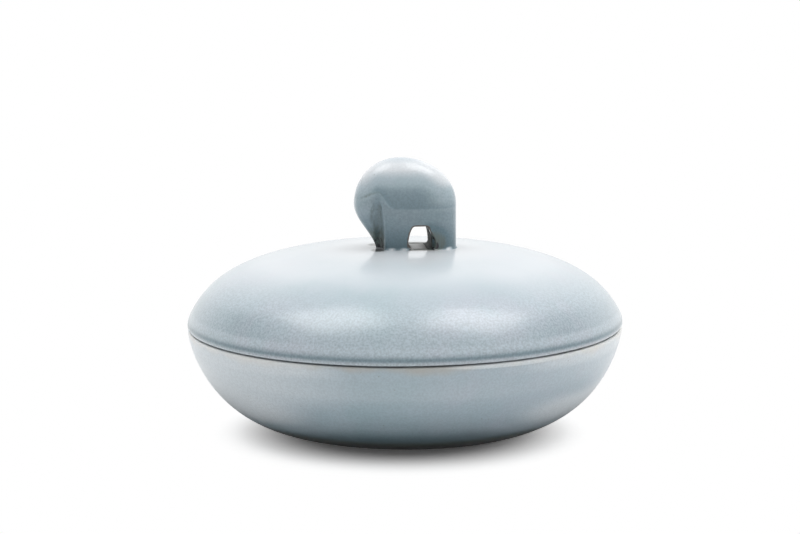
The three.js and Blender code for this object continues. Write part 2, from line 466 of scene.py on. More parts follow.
def paintLid(lid):
    d = lidSet
    outer, inner = flangeSides()
    co = places(lid) / mm
    r, z = np.hypot(co[:, 0], co[:, 1]), co[:, 2] - d["seat"]
    right, toward = facing(co)
    onTop = z > d["rise"] - d["wall"] / 2
    seat = within(d["bareSeat"], z) * (r > outer - d["bareMargin"])
    seat *= r < bowlSet["rimRadius"] - d["bareSeatIn"]
    flangeSide = (z < d["bareFlange"]) & (r > inner + d["bareMargin"])
    along = (co[:, 0] - d["tunnelMiddle"]) / d["tunnelHalf"][0]
    across = np.abs(co[:, 1] / d["tunnelHalf"][1])
    tunnel = within(d["tunnelSpan"], np.maximum(np.abs(along), across)) * onTop
    edge = np.maximum.reduce([
        within(d["tunnelLeft"], along), d["tunnelRightTone"] * within(d["tunnelRight"], along),
        within(d["tunnelMouths"], across),
    ])
    tunnelBare, edgeBare = d["tunnelBare"]
    paint(lid, "bare", np.maximum.reduce([seat, flangeSide, tunnel * (tunnelBare + edgeBare * edge)]))
    # painted shadow at the foot of the carved grooves
    contactShade = np.hypot(
        (co[:, 0] - d["contactShadeAt"][0]) / d["contactShadeReach"][0],
        (np.abs(co[:, 1]) - d["contactShadeAt"][1]) / d["contactShadeReach"][1],
    )
    # and painted shade along the edges of the arch's floor
    contactShade = np.maximum(within(d["contactShadeSpan"], contactShade), d["tunnelShade"] * tunnel * edge)
    paint(lid, "poolAndShade", contactShade * onTop)
    paint(lid, "grain", within(d["grainSpan"], z))
    paint(lid, "gloss", within(d["glossSpan"], r) * (z > d["glossAbove"]))
    # painted shade and light on the lip
    run = follow(d["lipShadeAndLight"], z) * (r > bowlSet["rimRadius"] - d["lipBand"])
    # painted light on the crown, less of it on the far side
    paintedLight = d["crownPaintedLight"] * within(d["crownSpan"], r) + d["topPaintedLight"] * within(d["topSpan"], r)
    run -= paintedLight * (1 - d["farLoss"] * within(d["farSpan"], -toward) * within(d["farRadius"], r))
    # painted shade and light toward the sides
    for amount, radii, heights, aside in d["shadeAndLightZones"]:
        run += amount * within(radii, r) * within(heights, z) * within(aside, np.abs(right))
    paint(lid, "run", run)


def makeLid():
    lid = turnPiece("glazed_lid", lidOutline(), thrown["turns"])
    paintLid(lid)
    throwUneven(lid)
    return lid


lid = makeLid()
print("lid turned:", len(lid.data.polygons), "faces")


knobSet = {
    "length": 39.8,
    "height": 35,
    "width": 21.6,
    "feetWidth": 18.4,
    "flankHeight": 17,
    "topShift": 2,
    "hindLeg": 10.26,
    "foreLeg": 9.74,
    "trunkReach": 2,
    "browLean": 1.6,                # how far the trunk's curve leans out from its tip
    "browBends": (0.35, 0.65),      # heights of its two handles, in shares of the flank
    "browSteps": 34,
    "browRound": 0.92,              # below 1 the forehead is fuller than a circle
    "backSteps": 48,
    "backEnd": 0.985,               # the last section, in shares of the climb to the top
    "feetSquare": 2.8,              # how square the sections are at the feet, and how much of that is lost
    "feetSquareLoss": 0.3,
    "backSquare": 2.5,
    "backSquareLoss": 0.4,
    "archWidth": 9.3,               # at its narrowest, inside
    "archCrown": 4.4,
    "archHeight": 9.2,
    "archCorner": 1.6,
    "archCornerTurn": (-90, -10),   # degrees
    "archCornerSteps": 9,
    "archLean": 0.05,
    "archBend": 0.54,               # height of the lower handle, in shares of the arch
    "archShoulder": 1.4,
    "archSteps": 16,
    "archBelow": 6,                 # how far the cutter goes down into the lid
    "archSplay": 1.4,               # how far the hind leg is cut back at the two mouths of the arch
    "splayRise": (8, 3),
    "splayDepth": (2.8, 0.2),       # from inside the mouth to its edge
    "splayReach": (4.5, 0),
    "flankFlare": 0.12,             # the flank leans out by this slope above the feet
    "flareTop": 10,
    "trunkSlim": ((0, 0.5), (4, 0.42), (8.5, 0.3), (13, 0.16), (17, 0.06), (21, 0)),
    "trunkFrom": 0.6,               # the trunk slims from here to here, ahead of the ridge
    "trunkTo": 5.8,
    "trunkTip": 0.4,                # or to this far behind the tip
    "ridge": ((0, -8.4), (4, -8.5), (10, -8.8), (14, -9.1), (17, -9.6), (19, -10.4), (20.4, -11.8)),
    "ridgeLift": 0.4,
    "ridgeBehind": 0.5,             # where it is highest
    "ridgeSpread": (1.9, 0.8),      # behind that and ahead of it
    "ridgeTop": (21, 18),
    "grooveEnd": (
        (0, -12.8), (4, -12.9), (8.5, -13.8), (11, -14.7), (13.6, -15.3), (16, -14.9), (18.5, -13.8),
        (20.4, -12),
    ),
    "grooveDepth": ((0, 5.2), (5, 4.4), (10, 3.5), (15, 2.4), (18, 1.4), (20.4, 0)),
    "grooveShape": (0, 0.24, 0.25, 1),  # steep at the ridge, slow toward the trunk
    "deepest": 0.72,                # no carving goes further in than this share of the half width
    "bodyLine": (                   # over the cheek, down behind the ridge and along the flank
        (-19.9, 19.1), (-17.5, 20), (-15.6, 20.9), (-13.6, 21.9), (-12, 22.5), (-10.7, 22.4), (-9.7, 21.3),
        (-8.7, 19.7), (-7.8, 18.1), (-6.4, 16.9), (-4.8, 16.3), (15, 16),
    ),
    "ledge": 0.55,                  # how far the cheek stands out below the line
    "ledgeSoft": (-1.0, 1.0),
    "ledgeFade": 6,
    "ledgeShare": ((-20, 0.9), (-12, 1), (-8, 0.75), (-4, 0.3), (12, 0.2), (18, 0)),
    "sunk": 3,                      # the feet go this far into the lid
    "sides": 220,
    "voxel": 0.3,
    "softening": 4,
    "fillet": 1.0,                  # radius of the glaze that gathers round the feet
    "filletShare": (0.8, 0.5),      # of it everywhere, and more of it at the glints
    "filletGroove": (-0.05, 0.1, 0.95, 1.1),  # across the groove there is none
    "glints": (-5.9, -1.4, 16.3),   # where it stands up and catches the light
    "glintSpread": 1.1,
    "proudRounds": 14,
    "mouthDepth": (6, 9),
    "nearArch": 1.2,                # what lies this close to the arch belongs to it
    "tunnelSlant": 0.55,            # its inner faces look along the knob, not across it
    "tunnelOver": 0.6,
    "tunnelBare": 0.8,
    "tunnelBareIn": (0.6, 2.2),     # from the mouth inward
    "tunnelShade": 0.8,
    "grain": 0.55,
    "grainLoss": 0.5,
    "grainLossRise": (22, 29),
    "archThin": (0.02, 0.12),       # thin glaze on the edges of the arch, by how far they stand proud
    "edgeThin": (0.03, 0.14),       # and on all others
    "edgeThinShare": 0.3,
    "creaseShade": ((-20, 0.2), (-16, 0.38), (-12, 0.34), (-9, 0.16), (-6, 0)),  # painted shade in the body line
    "lineAt": 0.2,
    "lineSpread": 0.8,
    "lineFrom": 3,                  # not on the forehead
    "lineShade": 0.2,               # painted shade above the line
    "lineShadeSoft": (-0.4, 0.4),
    "lineShadeFade": 4.5,
    "grooveShade": (                 # pooled glaze and painted shade in the groove, by height
        (0, 1.0), (2, 0.85), (4, 0.66), (7, 0.46), (10, 0.33), (14, 0.4), (17, 0.42), (19, 0.25),
        (20.4, 0.05),
    ),
    "grooveStart": (0.03, 0.13),
    "grooveStop": (1.6, 1.1),       # low down, where it runs further over the trunk
    "grooveStopLoss": (0.55, 0.35),
    "grooveStopRise": (5, 11),
    "grooveLit": 0.4,              # less painted shade along its middle
    "grooveLitRise": (8, 13),
    "grooveLitAt": 0.5,
    "grooveLitSpread": 0.22,
    "glazeRun": (                   # thick glaze and painted shade at the feet, thin glaze and painted light on the back, by height
        (0, 0.94), (4, 0.86), (10, 0.58), (15, 0.53), (19, 0.58), (21.5, 0.58), (23.5, 0.48),
        (25.5, 0.16), (28, -0.2), (30, -0.55), (31, -0.8), (33, -0.8), (35, -0.4),
    ),
    "backShare": 0.6,               # the painted light is weaker on the far side of the back
    "backSpan": (1, 7),
    "paintedLightZones": (                  # painted light: how much, where along the knob, at what heights
        (0.5, (4, 16), (13.5, 20)),
        (0.35, (4, 16), (20, 25)),
        (0.3, (-11, -17), (10, 16)),
        (0.3, (-11, -17), (18, 24)),
    ),
    "stain": 0.8,                   # thicker glaze on the hind leg beside the arch
    "stainBeside": (-1.5, 0.5, 1.5, 8),
    "stainRise": (12, 6),
    "elsewhere": -5,                # what is not on the hind leg counts as this far inside the arch
    "cornerTone": 1.1,              # and darker at its foot
    "cornerAt": 0.7,
    "cornerSpread": 1.0,
    "cornerRise": (5.5, 1.5),
    "legTone": 0.64,
    "legBeside": (7, 2),
    "legRise": (10, 4),
    # painted highlights at the glints
    "paintedGlint": 1.8,
    "glintRise": (1.0, 0.3),
    "glintFrom": 6,
}
crownLevel = lidSet["seat"] + lidSet["rise"]


def acrossGroove(x, rise):          # 0 at the ridge, 1 where the groove runs out on the trunk
    ridge, end = follow(knobSet["ridge"], rise), follow(knobSet["grooveEnd"], rise)
    return (ridge - x) / np.maximum(ridge - end, 0.01)


def grooveAt(x, rise):              # depth of the groove between trunk and foreleg
    return follow(knobSet["grooveDepth"], rise) * within(knobSet["grooveShape"], acrossGroove(x, rise))


def aboveLine(x, rise):
    return rise - follow(knobSet["bodyLine"], x)


def carveDepth(x, rise):            # how far the side is cut back, along the flank and up it
    k = knobSet
    below = -aboveLine(x, rise)
    ledge = k["ledge"] * within(k["ledgeSoft"], below) * np.exp(-np.clip(below, 0, None) / k["ledgeFade"])
    ledge *= follow(k["ledgeShare"], x)
    past = x - follow(k["ridge"], rise) - k["ridgeBehind"]
    lift = k["ridgeLift"] * bell(0, np.where(past > 0, *k["ridgeSpread"]), past) * within(k["ridgeTop"], rise)
    return grooveAt(x, rise) - lift - ledge


def knobSection(front, back, half, squareness, rise):
    k = knobSet
    angle = np.arange(k["sides"]) * 2 * math.pi / k["sides"]
    along = np.sign(np.cos(angle)) * np.abs(np.cos(angle)) ** (2 / squareness)
    across = np.sign(np.sin(angle)) * np.abs(np.sin(angle)) ** (2 / squareness)
    x = (front + back) / 2 + (back - front) / 2 * along
    ridge = follow(k["ridge"], rise)
    trunk = k["trunkFrom"] - ridge, min(-front - k["trunkTip"], k["trunkTo"] - ridge)
    y = half * across * (1 - follow(k["trunkSlim"], rise) * within(trunk, -x))
    depth = np.minimum(carveDepth(x, rise), k["deepest"] * np.abs(y))
    return rise, x, y - np.sign(y) * depth


def knobLevels():                   # level sections from the feet to the back
    k = knobSet
    rump = k["length"] / 2
    flank = k["flankHeight"]
    tip = rump - k["hindLeg"] - k["archWidth"] - k["foreLeg"] - k["trunkReach"]
    lower, upper = k["browBends"]
    brow = curvePoints(
        (tip, 0), (tip - k["browLean"], lower * flank),
        (-rump, upper * flank), (-rump, flank), k["browSteps"],
    )
    yield knobSection(tip, rump, k["feetWidth"] / 2, k["feetSquare"], -k["sunk"])
    for side in brow:
        swell = math.sin(math.pi / 2 * side.y / flank)
        half = (k["feetWidth"] + (k["width"] - k["feetWidth"]) * swell) / 2
        yield knobSection(side.x, rump, half, k["feetSquare"] - k["feetSquareLoss"] * swell, side.y)
    steps = k["backSteps"]
    for i in range(1, steps + 1):
        climb = math.pi / 2 * min(i / steps, k["backEnd"])
        front = -k["topShift"] - (rump - k["topShift"]) * math.cos(climb) ** k["browRound"]
        back = -k["topShift"] + (rump + k["topShift"]) * math.cos(climb)
        rise = flank + (k["height"] - flank) * math.sin(climb)
        squareness = k["backSquare"] - k["backSquareLoss"] * i / steps
        yield knobSection(front, back, k["width"] / 2 * math.cos(climb), squareness, rise)


def loftBody(name):
    clearSelection()
    bpy.ops.mesh.primitive_circle_add(vertices=knobSet["sides"], radius=mm, location=(0, 0, 0))
    piece = bpy.context.object
    piece.name = piece.data.name = name
    bpy.ops.object.mode_set(mode="EDIT")
    for level, (z, x, y) in enumerate(knobLevels()):
        if level:
            bpy.ops.mesh.select_all(action="DESELECT")
            bpy.ops.mesh.primitive_circle_add(vertices=knobSet["sides"], radius=mm, location=(0, 0, 0))
        ring = [v for v in bmesh.from_edit_mesh(piece.data).verts if v.select]
        for v, across, along in zip(ring, y, x):
            v.co = Vector((along, across, crownLevel + z)) * mm
        bmesh.update_edit_mesh(piece.data)
        if level == 0:
            bpy.ops.mesh.edge_face_add()
    bpy.ops.mesh.edge_face_add()
    bpy.ops.mesh.select_all(action="SELECT")
    bpy.ops.mesh.bridge_edge_loops()
    bpy.ops.mesh.select_all(action="SELECT")
    bpy.ops.mesh.normals_make_consistent(inside=False)
    bpy.ops.object.mode_set(mode="OBJECT")
    return piece


def archSide():                     # right side of the arch, up from the lid, about its middle
    k = knobSet
    wide, top, tall, bend = k["archWidth"] / 2, k["archCrown"] / 2, k["archHeight"], k["archCorner"]
    turn = np.linspace(*k["archCornerTurn"], k["archCornerSteps"])
    corner = [polar((wide - bend, bend), bend, a) for a in turn]
    return corner + curvePoints(
        (wide, bend), (wide - k["archLean"], tall * k["archBend"]),
        (top + k["archShoulder"], tall), (top, tall), k["archSteps"],
    )


def archMiddle():
    return knobSet["length"] / 2 - knobSet["hindLeg"] - knobSet["archWidth"] / 2


def archCutter():
    middle = archMiddle()
    right = archSide()
    outline = [Vector((right[0].x, -knobSet["archBelow"]))] + right
    outline += [Vector((-p.x, p.y)) for p in reversed(outline)]
    deep = knobSet["width"]
    chain = [Vector((middle + p.x, -deep, crownLevel + p.y)) * mm for p in outline]
    cutter = drawChain("archCutter", chain)
    bpy.ops.mesh.select_all(action="SELECT")
    bpy.ops.mesh.edge_face_add()
    bpy.ops.mesh.extrude_region_move(TRANSFORM_OT_translate={"value": (0, 2 * deep * mm, 0)})
    bpy.ops.mesh.select_all(action="SELECT")
    bpy.ops.mesh.normals_make_consistent(inside=False)
    bpy.ops.object.mode_set(mode="OBJECT")
    return cutter


def splayAt(rise, side):            # how much wider the arch is at its mouths, on the hind leg's side
    return knobSet["archSplay"] * within(knobSet["splayRise"], rise) * (side > 0)


def besideArch(co):                 # how far outside the arch a point is, and the side it is on
    side = archSide()
    off = co[:, 0] - archMiddle()
    inside = np.interp(co[:, 2] - crownLevel, [p.y for p in side], [p.x for p in side])
    return np.abs(off) - inside, np.sign(off)


def splayArch(knob):
    k = knobSet
    co = places(knob) / mm
    rise = co[:, 2] - crownLevel
    past, side = besideArch(co)
    edge = k["feetWidth"] / 2 + k["flankFlare"] * np.clip(rise, 0, k["flareTop"])
    mouth = smoothstep(edge - k["splayDepth"][0], edge - k["splayDepth"][1], np.abs(co[:, 1]))
    co[:, 0] += splayAt(rise, side) * mouth * within(k["splayReach"], past)
    place(knob, co * mm)


def lidSurface(r):                  # height of the lid's outside at a radius, in mm
    dome = domeCurve()[1]
    return np.interp(r, [p.x for p in reversed(dome)], [p.y for p in reversed(dome)]) + lidSet["seat"]


def glintAt(x):
    return sum(bell(spot, knobSet["glintSpread"], x) for spot in knobSet["glints"])


def settleKnob(knob):
    k = knobSet
    co = places(knob) / mm
    normal = vertexRows(knob, "normal")
    above = co[:, 2] - lidSurface(np.hypot(co[:, 0], co[:, 1]))
    radius = k["fillet"] * (k["filletShare"][0] + k["filletShare"][1] * glintAt(co[:, 0]))
    low = np.clip(1 - above / radius, 0, 1)
    flare = radius * (1 - np.sqrt(1 - low * low))
    flare *= 1 - within(k["filletGroove"], acrossGroove(co[:, 0], np.clip(above, 0, None)))
    co[:, :2] += normal[:, :2] * flare[:, None]
    place(knob, co * mm)


def makeKnob():
    k = knobSet
    knob = loftBody("glazed_elephant")
    cutAway(knob, archCutter())
    applyModifier(knob, "REMESH", mode="VOXEL", voxel_size=k["voxel"] * mm, adaptivity=0)
    applyModifier(knob, "SMOOTH", factor=0.5, iterations=k["softening"])
    bpy.ops.object.shade_smooth()
    splayArch(knob)
    settleKnob(knob)
    return knob


knob = makeKnob()
print("elephant carved:", len(knob.data.polygons), "faces")


def proudOf(piece, rounds):         # how far each vertex stands proud of its neighbourhood, in mm
    co = places(piece) / mm
    edges = np.zeros(len(piece.data.edges) * 2, np.int32)
    piece.data.edges.foreach_get("vertices", edges)
    a, b = edges.reshape(-1, 2).T
    count = np.bincount(np.concatenate([a, b]), minlength=len(co))[:, None]
    soft = co.copy()
    for _ in range(rounds):
        total = np.zeros_like(soft)
        np.add.at(total, a, soft[b])
        np.add.at(total, b, soft[a])
        soft = 0.5 * soft + 0.5 * total / count
    return ((co - soft) * vertexRows(piece, "normal")).sum(1)


# pooled glaze and painted shade in the groove, less of the shade along its middle
def grooveShade(x, z):
    k = knobSet
    u = acrossGroove(x, z)
    fade = within(k["grooveStopRise"], z)
    far, near = (stop - loss * fade for stop, loss in zip(k["grooveStop"], k["grooveStopLoss"]))
    tone = follow(k["grooveShade"], z) * within(k["grooveStart"], u) * smoothstep(far, near, u)
    middleLit = within(k["grooveLitRise"], z) * bell(k["grooveLitAt"], k["grooveLitSpread"], u)
    return tone * (1 - k["grooveLit"] * middleLit)


def paintKnob(knob):
    k = knobSet
    co = places(knob) / mm
    x, y, z = co[:, 0], co[:, 1], co[:, 2] - crownLevel
    aside = np.abs(y)
    past, side = besideArch(co)
    past = past - splayAt(z, side) * within(k["mouthDepth"], aside)
    mouth = k["feetWidth"] / 2
    nearArch = (past < k["nearArch"]) & (z < k["archHeight"] + k["nearArch"])
    inTunnel = nearArch & (np.abs(vertexRows(knob, "normal")[:, 1]) < k["tunnelSlant"])
    inTunnel &= aside < mouth + k["tunnelOver"]
    paint(knob, "bare", k["tunnelBare"] * inTunnel * within(k["tunnelBareIn"], mouth - aside))
    paint(knob, "grain", k["grain"] * (1 - k["grainLoss"] * within(k["grainLossRise"], z)))
    proud = proudOf(knob, k["proudRounds"])
    edgeThin = k["edgeThinShare"] * within(k["edgeThin"], proud)
    paint(knob, "thin", np.where(nearArch, within(k["archThin"], proud), edgeThin))
    above = aboveLine(x, z)
    # painted shade in the body line
    line = follow(k["creaseShade"], x) * bell(k["lineAt"], k["lineSpread"], above) * (aside > k["lineFrom"])
    past = np.where(side > 0, past, k["elsewhere"])
    corner = k["cornerTone"] * bell(k["cornerAt"], k["cornerSpread"], past) * within(k["cornerRise"], z)
    leg = k["legTone"] * within(k["legBeside"], past) * (past > 0) * within(k["legRise"], z)
    # painted shade on the hind leg's wall inside the arch
    wall = k["tunnelShade"] * (inTunnel & (side > 0))
    paint(knob, "poolAndShade", np.maximum.reduce([grooveShade(x, z), line, corner, leg, wall]))
    # thick glaze and painted shade low down, thin glaze and painted light on the back
    run = follow(k["glazeRun"], z)
    run *= 1 - k["backShare"] * within(k["backSpan"], y) * (run < 0)
    run += k["stain"] * within(k["stainBeside"], past) * within(k["stainRise"], z)
    # painted shade above the body line
    shade = np.exp(-np.clip(above, 0, None) / k["lineShadeFade"])
    run += k["lineShade"] * within(k["lineShadeSoft"], above) * shade
    # painted light on the rump and on the head
    for amount, lengths, heights in k["paintedLightZones"]:
        run -= amount * within(lengths, x) * within(heights, z)
    # painted highlights at the glints on the fillet
    run -= k["paintedGlint"] * glintAt(x) * within(k["glintRise"], z) * (aside > k["glintFrom"])
    paint(knob, "run", run)


paintKnob(knob)


glazeSet = {
    "cool": (0.412, 0.487, 0.535),
    "lilac": (0.437, 0.49, 0.545),
    "teal": (0.377, 0.468, 0.51),
    "paintedLight": (0.71, 0.73, 0.755),    # painted light, and thin glaze where it has run off a crown
    "warm": (0.50, 0.48, 0.44),     # where the glaze runs thin
    # the thin band where light is painted on it
    "warmPaintedLight": (0.80, 0.785, 0.75),
    "brown": (0.14, 0.09, 0.06),    # where it breaks over an edge
    "pooledAndShaded": (0.13, 0.16, 0.145),  # pooled glaze and painted shade in the carved grooves
    # painted shade at its darkest
    "deep": (0.034, 0.028, 0.036),
    "thickAndShaded": (0.105, 0.18, 0.215),  # where it has run down and gathered, and painted shade
    "clay": (0.27, 0.225, 0.185),
    "clayShade": 0.72,
    "speck": (0.16, 0.16, 0.15),
    "drift": {"Scale": 16, "Detail": 2, "Roughness": 0.5},
    "cloud": {"Scale": 75, "Detail": 3, "Roughness": 0.55},
    "mottle": {"Scale": 1250, "Detail": 2, "Roughness": 0.55},
    "wear": {"Scale": 42, "Detail": 2, "Roughness": 0.5},
    "streak": {"Scale": 1100, "Detail": 2},
    "streakPull": (1, 1, 0.08),     # streaks are long upward
    "noiseSpan": (0.3, 0.7),        # most of a noise lies between these
    "driftSpan": (0.38, 0.62),
    "cloudSpan": (0.35, 0.65),
    "most": 0.9,                    # thick glaze, painted light and pooled glaze with painted shade cover this much at most
    "grainDepth": 0.13,             # how much lighter and darker the grain is
    "speckScale": 330,
    "speckSize": (0.11, 0.04),
    "speckChance": (0.75, 0.85),
    "wearDepth": (-0.4, 0.3),       # how unevenly the thin edges are worn
    "thinSpan": (0.2, 1.1),
    "thinMost": 0.8,
    # the thin band turns to its painted light tone between these
    "thinToneRun": (-0.4, -1.1),
    "pooledAndShadedSpan": (0.1, 0.7),
    "deepSpan": (0.65, 1.05),
    "glossShare": 0.65,             # how much of the roughness is lost where the glaze lies glossy
    "bareSpan": (0.1, 0.9),
    "bareRough": 0.8,
    "bumpDepth": 0.00001,
    "sheenSpread": 0.35,            # of the milky look toward the outline
    "coatRough": 0.32,
}
finishes = {
    "bowl_glaze": {
        "tint": (0.98, 1.03, 1.045),
        "thinTones": ("warm", "warmPaintedLight"),
        "satin": (0.28, 0.34),      # from its least to its most roughness
        "specks": 0.5, "sheen": 0.25, "coat": 0, "streaks": 0,
    },
    "lid_glaze": {
        "tint": (1, 1, 1),
        "thinTones": ("warm", "warmPaintedLight"),
        "satin": (0.235, 0.272),
        "specks": 0, "sheen": 0.3, "coat": 0.3, "streaks": 0,
    },
    "knob_glaze": {
        "tint": (1, 1, 1),
        "thinTones": ("brown", "brown"),
        "satin": (0.18, 0.24),
        "specks": 0.35, "sheen": 0.2, "coat": 0, "streaks": 0.25,
    },
}


def addNode(tree, kind, inputs=None, **settings):
    node = tree.nodes.new(kind)
    for key, value in settings.items():
        setattr(node, key, value)
    for key, value in (inputs or {}).items():
        if isinstance(value, bpy.types.NodeSocket):
            tree.links.new(value, node.inputs[key])
        else:
            node.inputs[key].default_value = value
    return node


def mixColour(tree, factor, first, second):
    colours = {6: first, 7: second}
    for index, value in colours.items():
        if isinstance(value, tuple):
            colours[index] = (*value, 1)
    return addNode(tree, "ShaderNodeMix", {0: factor, **colours}, data_type="RGBA").outputs[2]


def mixShader(tree, factor, first, second):
    return addNode(tree, "ShaderNodeMixShader", {0: factor, 1: first, 2: second}).outputs[0]


def mapped(tree, value, span, to=(0, 1)):
    node = addNode(tree, "ShaderNodeMapRange", {
        "Value": value, "From Min": span[0], "From Max": span[1], "To Min": to[0], "To Max": to[1],
    }, interpolation_type="SMOOTHSTEP")
    return node.outputs["Result"]


def calc(tree, operation, first, second):
    return addNode(tree, "ShaderNodeMath", {0: first, 1: second}, operation=operation).outputs[0]


def vectorCalc(tree, operation, first, second):
    return addNode(tree, "ShaderNodeVectorMath", {0: first, 1: second}, operation=operation).outputs[0]


def lengthOf(tree, vector):
    return addNode(tree, "ShaderNodeVectorMath", {0: vector}, operation="LENGTH").outputs["Value"]


def noiseOf(tree, at, key):
    return addNode(tree, "ShaderNodeTexNoise", {"Vector": at, **glazeSet[key]}).outputs["Fac"]


def painted(tree, key):
    return addNode(tree, "ShaderNodeAttribute", attribute_name=key).outputs["Fac"]


def specksOf(tree, at, amount):
    g = glazeSet
    cells = addNode(tree, "ShaderNodeTexVoronoi", {"Vector": at, "Scale": g["speckScale"], "Randomness": 1})
    dot = mapped(tree, cells.outputs["Distance"], g["speckSize"])
    chance = addNode(tree, "ShaderNodeSeparateColor", {"Color": cells.outputs["Color"]}).outputs[0]
    return calc(tree, "MULTIPLY", dot, mapped(tree, chance, g["speckChance"], (0, amount)))


def poolAndShadeOf(tree, at, streaks):
    g = glazeSet
    poolAndShade = painted(tree, "poolAndShade")
    if not streaks:
        return poolAndShade
    streak = noiseOf(tree, vectorCalc(tree, "MULTIPLY", at, g["streakPull"]), "streak")
    return calc(tree, "MULTIPLY", poolAndShade, mapped(tree, streak, g["noiseSpan"], (1 - streaks, 1 + streaks)))


def glazeColour(tree, at, finish, cloud, mottle):
    g = glazeSet
    teal, lilac, cool, paintedLight = (
        tuple(c * t for c, t in zip(g[key], finish["tint"])) for key in ("teal", "lilac", "cool", "paintedLight")
    )
    colour = mixColour(tree, mapped(tree, noiseOf(tree, at, "drift"), g["driftSpan"]), teal, lilac)
    colour = mixColour(tree, mapped(tree, cloud, g["cloudSpan"]), colour, cool)
    run = painted(tree, "run")
    # thick glaze and painted shade
    colour = mixColour(tree, mapped(tree, run, (0, 1), (0, g["most"])), colour, g["thickAndShaded"])
    # painted light, and thin glaze
    colour = mixColour(tree, mapped(tree, run, (0, -1), (0, g["most"])), colour, paintedLight)
    uneven = mapped(tree, mottle, g["noiseSpan"], (-g["grainDepth"], g["grainDepth"]))
    shade = calc(tree, "ADD", calc(tree, "MULTIPLY", uneven, painted(tree, "grain")), 1.0)
    colour = addNode(tree, "ShaderNodeHueSaturation", {"Value": shade, "Color": colour}).outputs["Color"]
    colour = mixColour(tree, specksOf(tree, at, finish["specks"]), colour, g["speck"])
    wear = mapped(tree, noiseOf(tree, at, "wear"), g["noiseSpan"], g["wearDepth"])
    edge = mapped(tree, calc(tree, "ADD", painted(tree, "thin"), wear), g["thinSpan"], (0, g["thinMost"]))
    thinTone = mixColour(tree, mapped(tree, run, g["thinToneRun"]), *(g[key] for key in finish["thinTones"]))
    colour = mixColour(tree, edge, colour, thinTone)
    darkClay = tuple(g["clayShade"] * c for c in g["clay"])
    clay = mixColour(tree, mapped(tree, mottle, g["noiseSpan"]), g["clay"], darkClay)
    colour = mixColour(tree, painted(tree, "bare"), colour, clay)
    # pooled glaze and painted shade
    poolAndShade = poolAndShadeOf(tree, at, finish["streaks"])
    colour = mixColour(tree, mapped(tree, poolAndShade, g["pooledAndShadedSpan"], (0, g["most"])), colour, g["pooledAndShaded"])
    return mixColour(tree, mapped(tree, poolAndShade, g["deepSpan"]), colour, g["deep"])


def glazeRoughness(tree, finish, cloud):
    g = glazeSet
    rough = mapped(tree, cloud, g["noiseSpan"], finish["satin"])
    gloss = calc(tree, "MULTIPLY", painted(tree, "gloss"), -g["glossShare"])
    rough = calc(tree, "MULTIPLY", rough, calc(tree, "ADD", gloss, 1.0))
    bare = mapped(tree, painted(tree, "bare"), g["bareSpan"], (0, g["bareRough"]))
    return calc(tree, "MAXIMUM", rough, bare)


def glazeFinish(name):
    g, finish = glazeSet, finishes[name]
    material = bpy.data.materials.new(name)
    material.use_nodes = True
    tree = material.node_tree
    shader = tree.nodes["Principled BSDF"]
    shader.inputs["Sheen Weight"].default_value = finish["sheen"]
    shader.inputs["Sheen Roughness"].default_value = g["sheenSpread"]
    shader.inputs["Coat Weight"].default_value = finish["coat"]
    shader.inputs["Coat Roughness"].default_value = g["coatRough"]
    at = addNode(tree, "ShaderNodeTexCoord").outputs["Object"]
    cloud = noiseOf(tree, at, "cloud")
    mottle = noiseOf(tree, at, "mottle")
    tree.links.new(glazeColour(tree, at, finish, cloud, mottle), shader.inputs["Base Color"])
    tree.links.new(glazeRoughness(tree, finish, cloud), shader.inputs["Roughness"])
    bump = addNode(tree, "ShaderNodeBump", {"Strength": 1.0, "Distance": g["bumpDepth"], "Height": mottle})
    tree.links.new(bump.outputs["Normal"], shader.inputs["Normal"])
    return material


for piece, slot, body, node in (
    (bowl, "bowl_glaze", "bowl", "bowl"),
    (lid, "lid_glaze", "lid", "lid"),
    (knob, "knob_glaze", "lid", "elephant_knob"),
):
    piece.data.materials.clear()
    piece.data.materials.append(glazeFinish(slot))
    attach(piece, body)
    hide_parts(node)
print("glazed and seated")


studio = {
    "low": {"back": 1.1, "left": 0.32, "right": 0.36},     # light from near the table
    "high": {"back": 1.1, "left": 0.2, "right": 0.95},
    "top": 1.14,
    "sideSpan": (0.2, 0.9),         # a side begins and is full at these shares of the way toward it
    "highSpan": (0.3, 0.5),
    "topSpan": (0.7, 0.9),
    "lampSide": 86,                 # degrees from the camera, to the left and right
    "lampTilt": 67,                 # degrees up
    "lampAim": 0.06,                # height that the lamps look at
    "lampDistance": 1.3,
    "lampSize": 0.7,
    "lampPower": 6.2,
    "tableSize": 8,
    "table": (0.8, 0.8, 0.8),
    "tableNear": (0.04, 0.04, 0.04),  # in the shade of the box
    "tableNearSpan": (0.045, 0.115),
    "tableGain": 1.9,               # the table as the camera sees it
    "mirrorSpan": (0.09, 0.25),     # the table as the glaze mirrors it turns white between these distances
    "shadowSpan": (0.039, 0.083),   # the shadow fades out between these distances from the axis
    "shadowLift": 0.055,            # the least white in the shadow
    "shadowShift": 0.001,           # to the left of the axis
    "shadowShape": (1.02, 1, 1),    # a little narrower than it is deep
}


